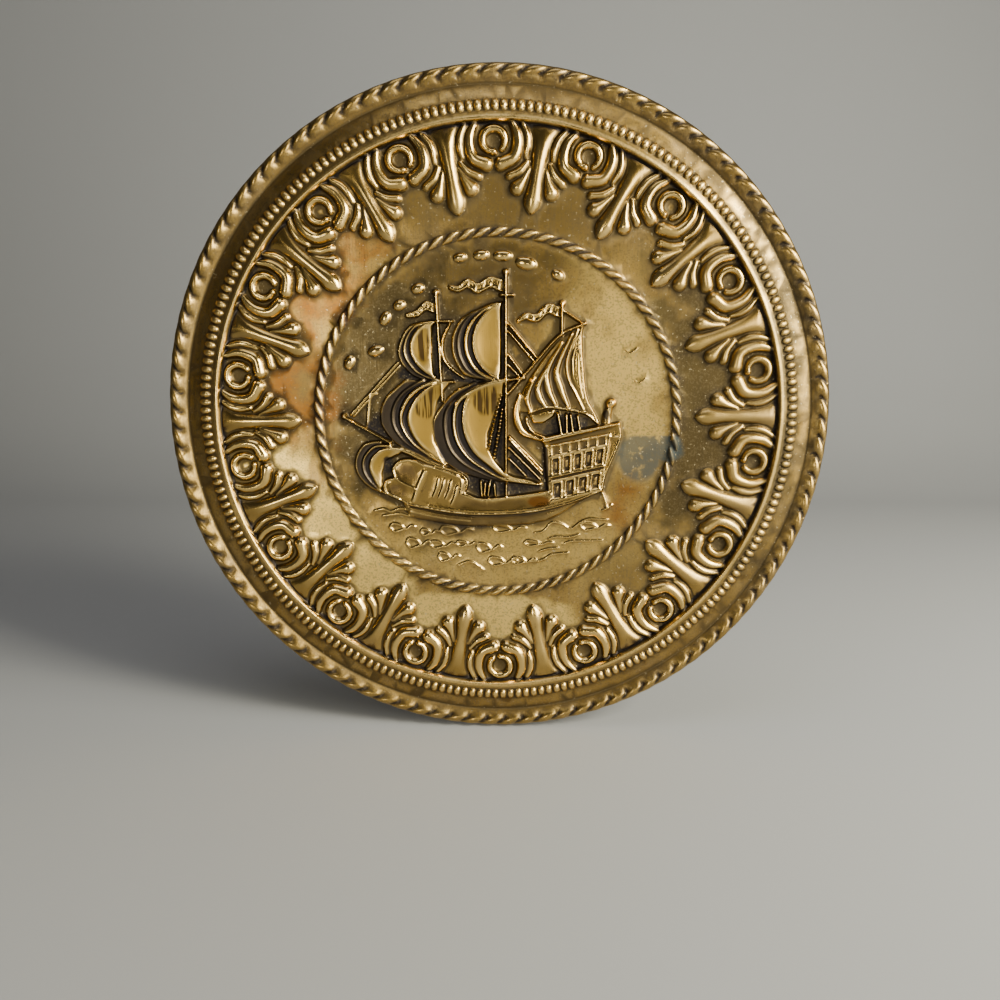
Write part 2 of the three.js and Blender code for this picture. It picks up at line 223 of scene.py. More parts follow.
def eye_curl(angle):
    """A curled ring round a shallow dish, with a small ball on the plate's centre side."""
    x, y = EYE_R * math.cos(angle), EYE_R * math.sin(angle)
    ring = [(x + r * math.cos(angle + a), y + r * math.sin(angle + a))
            for a, r in zip(np.linspace(-2.35, 3.0, 22), np.linspace(4.7, EYE_RING, 22))]
    ridge(ring, half=[1.4, 1.8, 1.9, 1.8, 1.4], height=[1.7, 2.2, 2.3, 2.2, 1.9])
    dome((EYE_R - EYE_RING) * math.cos(angle), (EYE_R - EYE_RING) * math.sin(angle), 1.5, 1.5, height=2.4)


for i in range(MOTIFS):
    angle = MOTIF_START + 2 * math.pi * i / MOTIFS
    c, s = math.cos(angle), math.sin(angle)
    spear(c, s)
    for points, half, high in LEAVES:
        for side in (1, -1):
            ridge([(v * c + side * u * s, v * s - side * u * c) for u, v in points], half, high)
    eye_curl(angle + math.pi / MOTIFS)

# Square sails: share of the way from the outer to the inner edge, half-width and height of each roll.
WIDE_ROLLS = ((0.04, 0.6, 1.3), (0.38, 1.1, 1.8), (0.69, 1.5, 2.5), (1.0, 0.6, 2.8))
TOP_ROLLS = ((0.04, 0.6, 1.3), (0.27, 0.8, 1.8), (0.65, 1.2, 2.4), (1.0, 0.65, 2.8))
NARROW_ROLLS = ((0.05, 0.5, 1.5), (0.5, 0.8, 2.2), (1.0, 0.5, 2.6))
CLOTH_FALL = 0.4
CLOTH_FOOT = 0.3


def sail(outer, inner, cloth, rolls, belly=2.6):
    """A bellied sail: channels darkened with tarnish and painted shade, bright rolls between two edges, and
    cloth with a painted sheen that falls from the hem.
    """
    a, b = even(outer), even(inner)
    channel = [tuple(p) for p in a[::2]] + [tuple(p) for p in b[::-2]]
    area(channel, height=0.9, edge=0.6)
    paint_soot_and_shade(channel, strength=0.85)
    at, depth = inside([tuple(p) for p in b[::2]] + list(cloth))
    away = np.full(depth.shape, 1e9, dtype=np.float32)
    for x, y in even(inner, 161):
        away = np.minimum(away, np.hypot(GX[at] - x, GY[at] - y))
    fall = CLOTH_FOOT + (belly - CLOTH_FOOT) * np.exp(-CLOTH_FALL * away / belly)
    bulge = np.where(depth > 0, fall * np.sqrt(np.clip(depth / 0.6, 0, 1)), 0)
    relief[at] = np.maximum(relief[at], bulge)
    cloth_sheen[at] = np.maximum(cloth_sheen[at], np.clip(depth / 0.8, 0, 1))
    gap = np.hypot(*(b - a).T)
    taper = np.clip(gap / gap.max(), 0.4, 1)
    for share, half, high in rolls:
        path = a + (b - a) * share
        ridge([tuple(p) for p in path[::4]], half * taper[::4], high)


# Main topsail.
sail([(-3, 47.4), (-14.3, 41.4), (-18.6, 33), (-17.8, 25.3), (-13.8, 18.9), (-6, 16.4)],
     [(2, 47.8), (-3.4, 45), (-8.3, 38.8), (-10, 32.4), (-8.9, 26), (-5, 20.3), (0.9, 16.5)],
     [(1.6, 20), (1.6, 45)], TOP_ROLLS)
# Fore topsail.
sail([(-29, 40.2), (-36.6, 38), (-41, 30), (-40.2, 23.7), (-34.5, 17.8), (-28, 16.6)],
     [(-25, 40.4), (-31.2, 38.4), (-34.5, 35.2), (-36.2, 30), (-35, 25.2), (-31.2, 20.4), (-25.3, 16.6)],
     [(-26.6, 19), (-27.4, 27), (-27, 38)], NARROW_ROLLS)
# Fore course.
sail([(-38.8, 16.2), (-47.5, 8.2), (-49.7, 1.5), (-48.6, -4), (-43.2, -10.7), (-32.3, -15.9), (-22.5, -19.6)],
     [(-18.7, 15.7), (-25.7, 14.6), (-33.4, 9.3), (-37.7, 1.5), (-36.6, -5.1), (-32.3, -11.8),
      (-21.9, -19.5)],
     [(-24.6, -14), (-26.8, -9.6), (-27.4, -1.8), (-25.2, 7.1), (-21, 13.4)], WIDE_ROLLS)
# Main course.
sail([(-10, 15.1), (-19.2, 10.4), (-24.7, 3.2), (-27.4, -1.8), (-26.8, -9.6), (-23.6, -17.3), (-17, -22.3),
      (-6.2, -25.8), (4.7, -27.2), (14, -28)],
     [(11, 16.8), (3.6, 16.2), (-6.2, 14), (-12.1, 9.8), (-14.6, 1.5), (-13.8, -6.2), (-10, -14),
      (-3.4, -20.1), (4.7, -25.4), (19, -28)],
     [(14, -26), (7.5, -24.6), (3.2, -22.6), (-1.3, -17.3), (-4, -11.8), (-4, -6.2), (-0.7, 2.6), (2.6, 11),
      (3, 15.6)], WIDE_ROLLS)
# Spritsail under the bowsprit.
sail([(-50.2, -9.6), (-57.3, -11.2), (-60.9, -17.9), (-60, -24), (-55.7, -29), (-49.7, -32.3)],
     [(-41, -13.4), (-48.1, -12.9), (-53, -16.2), (-54.6, -20.7), (-53, -26.2), (-50.2, -31)],
     [(-49.2, -29), (-49.4, -23.4), (-47.6, -17.9), (-41, -14.8)], NARROW_ROLLS, belly=2.2)
ridge([(-45.3, -12.4), (-38.8, -14), (-30.1, -18.2), (-23, -20.2)], half=[0.8, 1.4, 1.4, 0.7], height=1.9)
ridge([(-19.4, 39.8), (-22.5, 33), (-22.5, 25.8), (-19.2, 21), (-13.8, 16.9)],
      half=[0.5, 0.6, 0.7, 0.6, 0.4], height=2.4)

# Mizzen sail: folds that hang from its long yard to a curved foot, over a dark arcade.
MIZZEN_FOLDS = (
    ([(15.6, 17), (12.6, 9), (14, 3.4)], [0.6, 1.5, 0.9]),
    ([(22.4, 24), (17.3, 14.4), (17.6, 9.5), (20.2, 5.4)], [0.7, 1.7, 1.8, 1.0]),
    ([(27, 31.4), (21, 20.4), (21.3, 12.8), (24.5, 6)], [0.7, 1.7, 1.9, 1.0]),
    ([(31, 35), (25, 21), (26.6, 12.8), (29.8, 5.2)], [0.7, 1.8, 1.9, 1.0]),
    ([(33.4, 37), (29.3, 25.3), (29.8, 17.1), (33, 10.6), (36.6, 3.6)], [0.4, 0.7, 0.7, 0.7, 0.5]),
    ([(35.4, 38.6), (34.6, 33.5), (35.7, 19.9), (37.3, 9), (41, 1.9), (42.8, -1.9)], 0.5))
ARCADE_POSTS = ((25.6, 2.4, 1.6, 0.7), (29.3, 2, 0.2, 0.5), (31, 1.8, 1.1, 0.5), (33.9, 1.4, 1.4, 0.5))
area([(34.8, 38.6), (26, 33.6), (18.1, 23.7), (12.8, 15.5), (8.6, 7.3), (8.2, 3), (13.3, 2.6), (20.2, 5),
      (29.8, 4), (38.9, 1.4), (42.4, -1.8), (41, 1.9), (37.3, 9), (35.7, 19.9), (35.4, 38.6)],
     height=1.0, edge=0.8)
paint_soot_and_shade([(30, 36), (18.1, 23.7), (12.8, 15.5), (8.6, 7.3), (8.2, 3), (13.3, 2.8), (20.2, 5), (29.8, 4),
        (36, 3.4), (31.4, 14), (30.4, 24)], strength=0.38)
area([(34, 38), (31.4, 33), (29.6, 25), (30.2, 17), (33.2, 10), (37, 3.6), (42, -1), (37.3, 9), (35.7, 20),
      (35.2, 37)], height=2.0, edge=2.5)
for points, half in MIZZEN_FOLDS:
    ridge(points, half, height=2.4)
ridge([(9.4, 10), (8.2, 4), (8.8, -1.6), (11.6, -6), (18.8, -9)], half=[0.7, 1.4, 1.9, 1.6, 0.6],
      height=[1.6, 1.9, 2.1, 1.9, 1.2])
ridge([(12.4, 0.4), (12.8, -2), (15.4, -5.8), (20, -7.6)], half=0.5, height=2.4)
ridge([(13.3, 2.4), (20.2, 4.7), (25.6, 4.5), (35.2, 2.9), (38.9, 1.3), (42.4, -2)], half=0.5, height=2.5)
area([(13.4, 1.8), (20, 4), (24.6, 4), (24, 1.2), (20, -1.6), (15.6, -1.8)], height=1.3, edge=0.8)
paint_soot_and_shade([(13.6, -1.4), (15.6, -1.9), (20, -1.8), (24.4, 1), (30, 3), (38.5, 0.8), (41.6, -2), (36, -4.4),
        (27.5, -6.9), (20.4, -7.2), (15.8, -5)], strength=1.0)
for x, y, lean, half in ARCADE_POSTS:
    ridge([(x, y), (x + lean, y - 8.6 + 0.15 * (x - 25))], half, height=3.2)

# Forecastle, hull and deck.
GUNWALE = [(-49.4, -31.4), (-42.1, -34.7), (-37.7, -36.9), (-30.1, -38.5), (-22.5, -39.9), (-11.6, -41),
           (2, -40.9), (14, -40), (23, -38.2), (33, -35.2), (44.6, -30.6)]
QUARTER_X = 20
KEEL_DROP = 5.6
LOWER_HULL = GUNWALE[1:] + [(x - 0.4 * (x > QUARTER_X) * (x - QUARTER_X), y - KEEL_DROP)
                            for x, y in GUNWALE[:1:-1]]
FORECASTLE_LINES = (
    ([(-44.3, -24), (-44.4, -20.7), (-41, -17.9), (-35.5, -17.9), (-31.2, -20.1)], 0.55),
    ([(-44.3, -24), (-43.7, -25.1), (-41, -27.3), (-35, -30)], 0.5),
    ([(-31.2, -20.1), (-26.8, -21), (-17, -24.7), (-15.2, -26.9), (-15.9, -32.3)], 0.5),
    ([(-26.8, -20), (-17, -22.8), (-13, -26.2), (-13.3, -30)], 0.5),
    ([(-42.1, -34.4), (-47.5, -31.9), (-48.5, -28.6), (-47.2, -26.4), (-44.5, -25.6)], 0.55))
DECK_POSTS = ((-7, -26.6, -6.6), (-5, -27.4, -5.4), (-3, -27, -4), (-1.2, -27.8, -0.8), (3.9, -28, 3.9))
area([(-49.6, -31.2), (-49.2, -28), (-44.6, -25), (-44.6, -20.6), (-41, -17.7), (-35.5, -17.7),
      (-26.8, -20.2), (-17, -23), (-13, -26.4), (-13.4, -31.4), (-8, -34), (0, -34), (10, -32.8),
      (22, -31.2), (44, -27), (45.4, -30.4), (33, -35.2), (23, -38.2), (14, -40), (2, -41), (-11.6, -41),
      (-22.5, -39.8), (-30.1, -38.4), (-37.7, -36.9), (-42.1, -34.6)], height=1.9, edge=1.0)
for points, half in FORECASTLE_LINES:
    ridge(points, half, height=2.8)
paint_soot_and_shade([(-44, -24), (-44, -20.7), (-41, -18.2), (-35.5, -18.2), (-31.6, -20.4), (-35, -29.8), (-41, -27)],
       strength=0.75)
paint_soot_and_shade([(-42.1, -34.2), (-47.2, -31.7), (-48, -28.6), (-44.5, -26), (-36, -30.4), (-37.4, -35.6)],
       strength=0.75)
paint_soot_and_shade([(-15, -33), (-8, -34.8), (0, -34.6), (10, -33.4), (20, -32), (20, -37.6), (2, -39.4), (-14, -39)],
       strength=0.5)
paint_soot_and_shade(LOWER_HULL, strength=0.42)
ridge([(-30.9, -22.4), (-33.4, -28.4), (-36.1, -35.4)], half=[2.2, 2.8, 2.0], height=2.5)
for x, y in ((-25.2, -25.6), (-22.8, -26), (-19.8, -26.4), (-17.4, -29)):
    ridge([(x, y), (x - 0.6, y - 3.6), (x - 2.4, y - 8)], half=[0.5, 0.9, 0.6], height=2.8)
ridge(GUNWALE, half=0.5, height=3.0)
ridge([(x, y + 1.1) for x, y in GUNWALE[3:]], half=0.4, height=2.6)
area(LOWER_HULL, height=1.5, edge=3.4)
for drop in (1.7, 3.2):
    ridge([(x, y - drop) for x, y in GUNWALE[2:6]], half=0.5, height=1.9)
ridge([(-15.8, -32.4), (-8, -34.4), (0, -34.2), (10, -33), (22, -31.2)], half=0.5, height=2.5)
for x in (-6.8, -4.9, -2.2):
    ridge([(x, -34.6), (x + 0.8, -37.4)], half=0.38, height=2.4)
for x, y, foot in DECK_POSTS:
    ridge([(x, y), (foot, -33)], half=0.55, height=3.0)

# Stern castle: a rail, a row of balusters and two rows of framed windows, with the quarter at its right.
CORNERS = np.array([[22.4, -11.6], [46.8, -6.6], [44.2, -30], [23, -35.4]])
WINDOW_ROWS = ((5, 0.23, 0.52), (4, 0.68, 0.97))


def castle(s, t):
    """A point of the stern castle: s runs from its left side to its right, t from top to foot."""
    top = CORNERS[0] + (CORNERS[1] - CORNERS[0]) * s
    foot = CORNERS[3] + (CORNERS[2] - CORNERS[3]) * s
    return tuple(top + (foot - top) * t)


def castle_panel(s0, s1, t0, t1):
    """Corners of a panel of the stern castle, in order."""
    return [castle(s0, t0), castle(s1, t0), castle(s1, t1), castle(s0, t1)]


def castle_window(s0, s1, t0, t1):
    """A framed window with a raised pane in a sunk panel."""
    frame_line = castle_panel(s0, s1, t0, t1)
    pit(frame_line, deep=0.7, edge=0.4)
    inset, drop = 0.3 * (s1 - s0), 0.2 * (t1 - t0)
    area(castle_panel(s0 + inset, s1 - inset, t0 + drop, t1 - drop), height=1.4, edge=0.3)
    for start, end in zip(frame_line, frame_line[1:] + frame_line[:1]):
        ridge([start, end], half=0.55, height=2.6)


area([(22, -35.6), (44.6, -30.2), (46.4, -24), (50, -15), (52.4, -8), (51.6, -2), (19.6, -9.4), (20.4, -20)],
     height=1.5, edge=0.9)
paint_soot_and_shade(castle_panel(0, 1, 0, 1), strength=0.42)
ridge([(20, -9), (30, -6.6), (40, -4.4), (51.4, -2)], half=[1.7, 1.5, 1.2, 0.8], height=3.0)
for points in ([(51.6, -2.6), (52, -8), (49.4, -15.5), (46, -24), (44.8, -30)],
               [(47.6, -6.4), (46.6, -16), (45, -24)], [(47.4, -7.4), (52, -7.6)]):
    ridge(points, half=0.5, height=2.7)
for t, half in ((0.0, 0.5), (0.19, 0.55), (0.56, 0.6), (0.64, 0.5), (1.0, 0.6)):
    ridge([castle(0, t), castle(0.5, t), castle(1, t)], half, height=2.9)
for s in np.linspace(0.02, 0.98, 7):
    ridge([castle(s, 0.02), castle(s, 0.17)], half=0.42, height=2.6)
for count, t0, t1 in WINDOW_ROWS:
    for k in range(count):
        castle_window((k + 0.16) / count, (k + 0.84) / count, t0, t1)

# Stern lantern and rudder.
ridge([(46.2, -1.4), (46.6, 2.4), (47.6, 5)], half=[2.2, 1.9, 1.4], height=1.5)
paint_soot_and_shade([(43.8, 2.4), (45.6, 4.6), (47.2, 4), (49, -1.4), (45.6, -1.8)], strength=1.0)
dome(47.9, 6.6, 2.3, 1.9, height=2.6, turn=0.5)
ridge([(45, -31), (46.6, -35), (47.4, -38.6)], half=0.55, height=1.3)
ridge([(45.4, -39.4), (47.4, -38.6), (49.4, -37)], half=0.5, height=1.2)

# Masts, yards, stays and shrouds.
SPARS = (
    ([(3.6, 59), (3.8, -23)], 0.6), ([(-25.2, 51), (-23, 7.4)], 0.6), ([(26.8, 46.4), (26.8, 34.6)], 0.6),
    ([(-25.4, 40.3), (-18.6, 40.3)], 0.55), ([(-24.6, 15.4), (-18.4, 15.4)], 0.5),
    ([(3.6, 16.4), (11.6, 17)], 0.55), ([(4.5, 10.4), (15.4, 23), (26, 34.6), (36.4, 39.4)], 0.65),
    ([(-65.2, 0.8), (-45.3, -10.2)], 0.65), ([(1.4, 50.8), (6.4, 50.8)], 0.6))
FORE_STAYS = ([(-62.2, 1.6), (-41.8, 23.4)], [(-60.9, 1.2), (-41, 22.2)],
              [(-51, 10.4), (-53.8, 9.6), (-55.4, -2.9)])
BACK_STAYS = (
    [(4.6, 39.6), (17, 25)], [(4.6, 36.4), (15.4, 24)], [(4.6, 26.8), (11.6, 17.4)],
    [(4.6, 22.6), (9.6, 17.4)], [(5.2, -7.4), (19.6, -22)], [(5.2, -8.8), (19.4, -23.6)],
    [(5.2, -12.4), (18.6, -26)], [(5.2, -17), (12.4, -24.4)], [(26.8, 45), (36, 39.2)])
SHROUDS = ([(1.9, 9.8), (-0.2, 2.6), (-2.3, -6.2), (-3.4, -12.6)],
           [(2.2, 4), (1.4, -1), (0.4, -7.3), (-1.2, -16.4)])
for points, half in SPARS:
    ridge(points, half, height=3.4)
for x, y in ((3.5, 60), (-25.3, 51.9), (26.8, 47.4), (-65, 1)):
    dome(x, y, 1.4, 1.4, height=2.4)
for points in FORE_STAYS:
    ridge(points, half=0.45, height=0.9)
for points in BACK_STAYS:
    ridge(points, half=0.5, height=2.6)
for points in SHROUDS:
    for x, y in even(points, 14):
        dome(x, y, 0.78, 0.72, height=3.0)

# Streaming flags: two wavy edges joined by short folds.
FLAGS = (
    ([(2, 54.6), (-3, 56), (-8, 53.6), (-12, 55.6), (-16, 53.4), (-19.6, 54)],
     [2.8, 2.4, 2.2, 2.0, 1.4, 0.5]),
    ([(-26.4, 45.8), (-29.6, 46.6), (-33, 43.8), (-37.6, 42.6)], [2.2, 1.9, 1.5, 0.5]),
    ([(25.8, 44), (21, 45.4), (16.6, 41.8), (12, 42.4), (8.6, 40.4)], [2.4, 2.1, 1.8, 1.4, 0.5]))
FLAG_POINTS = 21
for points, half in FLAGS:
    ridge(points, half, height=0.9)
    path = even(points, FLAG_POINTS)
    reach = np.interp(np.linspace(0, 1, FLAG_POINTS), np.linspace(0, 1, len(half)), half) * 0.75
    for side in (1, -1):
        ridge([(x, y + side * w) for (x, y), w in zip(path, reach)], half=0.42, height=1.8)
    for k in range(1, 19, 3):
        (x, y), w = path[k], reach[k]
        ridge([(x + 0.5, y + w), (x - 0.6, y - w)], half=0.4, height=1.8)

# Clouds, birds and the sea. Clouds: centre, half-axes and turn; wavelets: centre, width and height.
CLOUDS = (
    (-62, 23.5, 2.1, 3.0, -0.4), (-50.8, 28.3, 3.4, 2.1, 0.3), (-46.5, 41.5, 2.1, 3.0, -0.5),
    (-40.5, 46.8, 2.6, 2.1, 0.4), (-32.7, 53.5, 2.8, 2.1, 0.3), (-15.2, 65.8, 2.8, 1.8, 0.2),
    (-6.5, 66.8, 3.3, 2.0, 0.1), (2.3, 66.5, 4.0, 2.1, 0.0), (11.8, 63.5, 4.5, 2.5, -0.2),
    (25, 58.8, 2.8, 2.0, -0.5))
WAVELETS = (
    (-43.4, -47.4, 7, 1.8), (-31, -49.4, 5, 1.4), (-20.6, -48.8, 9, 2.0), (2.6, -47.8, 9, 1.6),
    (40, -46.6, 8, 1.6), (-36.4, -54.4, 7, 2.2), (-26, -55, 7, 1.6), (-15, -54.6, 6, 1.2),
    (-5.6, -56.4, 7, 2.2), (15.6, -54.2, 8, 1.2), (-23, -60.6, 6, 2.0), (0, -62.4, 8, 2.0),
    (9.6, -62, 7, 1.6))
WAVE_LINES = (
    [(-53.4, -40), (-49.4, -39.2), (-46, -40.2), (-42, -38.9), (-38.8, -39.6)],
    [(-50, -42.2), (-45.6, -41.6), (-42, -41.2), (-38, -42.2)],
    [(16, -49.6), (20, -48.8), (23.8, -44.8), (28, -45.6), (32, -47.6), (36, -44.8), (40, -43.2),
     (48, -43.6)],
    [(22, -52.2), (26, -51.2), (31, -51.4), (35.6, -50.2)],
    [(28.8, -54.6), (32, -53.2), (38, -53), (45.6, -52.8)],
    [(18, -58), (22, -56.6), (26.6, -56.2)],
    [(14.6, -62.6), (20, -61.6), (24, -59.2), (31, -58.4)],
    [(-17.4, -64.4), (-13, -62.6), (-10, -63.4), (-5.8, -66.4)])


def wavelet(x, y, wide, tall):
    """A lens-shaped ripple whose upper line runs on as a tail."""
    half = wide / 2
    ridge([(x - half, y), (x - 0.3 * wide, y + tall), (x + 0.2 * wide, y + 0.6 * tall),
           (x + half, y - 0.4 * tall), (x + 0.85 * wide, y + 0.5 * tall), (x + 1.1 * wide, y + 0.2 * tall)],
          half=0.55, height=0.85)
    ridge([(x - half, y), (x - 0.2 * wide, y - tall), (x + 0.25 * wide, y - 0.6 * tall),
           (x + half, y - 0.4 * tall)], half=0.55, height=0.8)


for x, y, a, b, turn in CLOUDS:
    dome(x, y, a, b, height=1.6, turn=turn)
for x, y in ((55.6, 27.8), (59.6, 15.4)):
    ridge([(x - 2.2, y + 0.4), (x, y - 0.5), (x + 2.6, y + 1.6)], half=0.38, height=0.55)
for x, y, wide, tall in WAVELETS:
    wavelet(x, y, wide, tall)
for points in WAVE_LINES:
    ridge(points, half=[0.4, 0.55, 0.55, 0.4], height=0.85)

# Dark tarnish and painted shade beside the raised work.
for outline, strength in (
        ([(-56, -1.4), (-49, 3), (-49, -3), (-43.6, -11), (-55, -5)], 0.9),
        ([(-42, 20.4), (-38, 22), (-33, 17.6), (-20, 17), (-19, 15.6), (-28, 15.8), (-43, 16.4)], 0.9),
        ([(-20, 20), (-12, 17.4), (0, 16.6), (-10, 14.6), (-19, 15.4)], 0.9),
        ([(-23.6, -19.6), (-13, -23.4), (-12.6, -31), (-8, -33.6), (8, -32.8), (20, -30.6), (19, -28.4),
          (4, -27.4), (-16, -23)], 1.0),
        ([(18.8, -10.5), (21.8, -11.6), (22.8, -35), (21, -35.6), (19.4, -24)], 1.0),
        ([(4.8, -9.6), (19, -24.4), (19, -27.2), (8, -23.8), (4.8, -21)], 0.9),
        ([(-49, -15.8), (-44.6, -16), (-44.8, -22), (-46.6, -25.6), (-49.2, -24)], 0.95),
        ([(-38, -41.6), (-22, -44), (-2, -45.4), (-2, -52), (-20, -53), (-34, -47)], 0.45),
        ([(-3.8, -13), (2.8, -22), (3, 10.6), (1.4, 11)], 1.0),
        ([(1.2, 47), (3, 47), (3.2, 17), (1.4, 17)], 0.9),
        ([(-27, 39), (-25.2, 39), (-23.4, 17), (-26.4, 17.6)], 0.9),
        ([(-24.4, 39), (-22.4, 38), (-22.6, 29), (-20.6, 23), (-14, 17.6), (-22.6, 17.2)], 0.7),
        ([(4.8, 25), (10.6, 17.8), (4.8, 17.8)], 0.8)):
    paint_soot_and_shade(outline, strength)


def furrow(lay):
    """Depth share across one strand of the edge rope: 0 on its crown, 1 between two strands."""
    return 1 - np.clip(1 - ((2 * lay - 1) / 0.85) ** 2, 0, 1) ** 0.7


# The sheet's own profile with rounded bends, then the relief on it.
PROFILE_STEP = 0.05
PROFILE_REACH = 30
BEND = 0.16
steps = np.arange(0, RIM, PROFILE_STEP)
profile = np.interp(steps, *zip(*PROFILE))
kernel = np.exp(-0.5 * (np.arange(-PROFILE_REACH, PROFILE_REACH + 1) * PROFILE_STEP / BEND) ** 2)
profile = np.convolve(np.pad(profile, PROFILE_REACH, mode="edge"), kernel / kernel.sum(), mode="valid")
sheet_height = np.interp(GR, steps, profile).astype(np.float32)
relief = blur(relief, RELIEF_SOFT)
clear = np.clip(INNER_ROPE - INNER_HALF - GR, 0, 1) + np.clip(GR - INNER_ROPE - INNER_HALF, 0, 1)
pressed = np.maximum(sheet_height, FIELD + relief * np.clip(clear, 0, 1))
height = np.where(GR < RELIEF_END, pressed, sheet_height)

# The beads, the start of the edge rope and the inner rope.
along = (np.mod(AROUND * BEADS, 1) - 0.5) * (2 * math.pi * BEAD_R / BEADS)
bead = np.sqrt(np.clip(1 - (along / BEAD_ALONG) ** 2 - ((GR - BEAD_R) / BEAD_ACROSS) ** 2, 0, 1))
height = height + BEAD_HEIGHT * bead
edge_lay = np.mod(AROUND * ROPE_STRANDS - 0.15, 1)
height -= ROPE_GROOVE * np.clip((GR - ROPE_START) / ROPE_RISE, 0, 1) * furrow(edge_lay)
across = (GR - INNER_ROPE) / INNER_HALF
inner_lay = np.mod(AROUND * INNER_STRANDS + 0.2 * (GR - INNER_ROPE), 1)
strand = np.sqrt(np.clip(1 - ((2 * inner_lay - 1) / 0.62) ** 2, 0, 1))
# Painted shade in the gaps between the inner rope's strands.
rope_gap_shade = 0.52 * (1 - strand) * (np.abs(across) < 1.1)
height = height + INNER_HEIGHT * np.sqrt(np.clip(1 - across * across, 0, 1)) * (0.26 + 0.74 * strand)

# Shallow dents in the field, at an angle and a radius, and the unevenness of beaten sheet.
DENTS = ((45, 83.5, 5, 0.35), (193, 82, 5, 0.4), (285, 90, 6, 0.2), (120, 87, 7, 0.25))
UNEVEN = ((1.3, 0.012), (4.5, 0.04))
SEED = 7
for angle, r, size, depth in DENTS:
    x, y = r * math.cos(math.radians(angle)), r * math.sin(math.radians(angle))
    height -= depth * np.exp(-((GX - x) ** 2 + (GY - y) ** 2) / (2 * size * size))
ripple = np.random.default_rng(SEED).normal(0, 1, GX.shape).astype(np.float32)
for size, depth in UNEVEN:
    soft = blur(ripple, size)
    height += depth * soft / soft.std()
height = blur(height.astype(np.float32), SURFACE_SOFT)
slope_y, slope_x = np.gradient(height, CELL)

# Where dirt and shade are painted: dirt in the hollows, painted shade on steep sides, soot and painted shade
# at the foot of the step, and painted shade in the valley and the rope's gaps.
VALLEY_R = 134.2
flank_shade = np.clip((np.hypot(slope_x, slope_y) - 1.1) / 1.6, 0, 1) * (GR < INNER_ROPE - INNER_HALF)
cavity_and_flank_shade = np.clip((blur(height, 1.1) - height) / 0.7 + 0.4 * flank_shade, -1, 1)
raised = np.clip(relief / 0.6, 0, 1)
# The step's foot gets soot and painted shade; the valley and the rope's gaps get painted shade.
step_soot_and_shade = 0.9 * np.clip(1 - np.abs(GR - STEP_R) / 1.1, 0, 1)
valley_shade = 0.42 * np.clip(1.4 - np.abs(GR - VALLEY_R) / 1.8, 0, 1)
soot_and_shade = blur(soot_and_shade, 0.5) * np.clip(2.5 - relief, 0.05, 1)
for dark_band in (step_soot_and_shade, valley_shade, rope_gap_shade):
    soot_and_shade = np.maximum(soot_and_shade, dark_band)
cloth_sheen = blur(cloth_sheen, 0.3)

# The back of the sheet follows the front softly.
behind = height
for axis in (0, 1):
    for shift in (1, 2, 3):
        lower = np.minimum(np.roll(behind, shift, axis), np.roll(behind, -shift, axis))
        behind = np.minimum(behind, lower)
behind = np.minimum(blur(behind, 0.7), height - 0.1)


def sample(grid, x, y):
    """Values of a grid between its cells."""
    u = np.clip((x + REACH) / CELL, 0, len(LINE) - 1.001)
    v = np.clip((y + REACH) / CELL, 0, len(LINE) - 1.001)
    i, j = u.astype(int), v.astype(int)
    a, b = u - i, v - j
    low = grid[j, i] * (1 - a) + grid[j, i + 1] * a
    high = grid[j + 1, i] * (1 - a) + grid[j + 1, i + 1] * a
    return low * (1 - b) + high * b


# One closed skin: rings from the front centre out over the rope edge and back behind the sheet.
FINE = 2160
GAP = 0.4
FRONT_GAP = 0.6 * GAP
BACK_GAP = 1.2
PICTURE_END = 76
FRONT_END = 135.3
ROLL_DEGREES = np.arange(125, -61, -7.5)
BACK_START = 132.4
BACK_END = 1.5
rings = []


def add_ring(r, n, grid=None, lift=0.0):
    """A ring of points on a grid's surface, or on the wall plane where no grid is given."""
    a = np.arange(n) * 2 * math.pi / n
    x, y = r * np.cos(a), r * np.sin(a)
    z = sample(grid, x, y) + lift if grid is not None else np.zeros(n)
    rings.append(np.column_stack([x, y, z]))


def groove(around, degrees):
    """Depth share of the rope's grooves at an angle round the plate and an angle round the roll."""
    lay = np.mod(around / (2 * math.pi) * ROPE_STRANDS + 0.26 * np.cos(np.radians(degrees)), 1)
    return np.clip((degrees - 5) / 50, 0, 1) * furrow(lay)


picture_rings = np.arange(FRONT_GAP, PICTURE_END, FRONT_GAP)
for r in np.concatenate([picture_rings, np.arange(PICTURE_END, FRONT_END, GAP)]):
    n = FINE // 8 if r < 11 else FINE // 4 if r < 22 else FINE // 2 if r < 42 else FINE
    add_ring(r, n, height)
a = np.arange(FINE) * 2 * math.pi / FINE
for degrees in ROLL_DEGREES:
    p = math.radians(degrees)
    out = ROLL - ROPE_GROOVE * groove(a, degrees)
    reach = RIM - ROLL + out * math.cos(p)
    rings.append(np.column_stack([reach * np.cos(a), reach * np.sin(a), ROLL + out * math.sin(p)]))
add_ring(LAND_OUTER, FINE)
add_ring(LAND_INNER, FINE // 3)
for r in np.arange(BACK_START, BACK_END, -BACK_GAP):
    n = FINE // 3 if r > 60 else FINE // 6 if r > 20 else FINE // 12
    add_ring(r, n, behind, -SHEET)

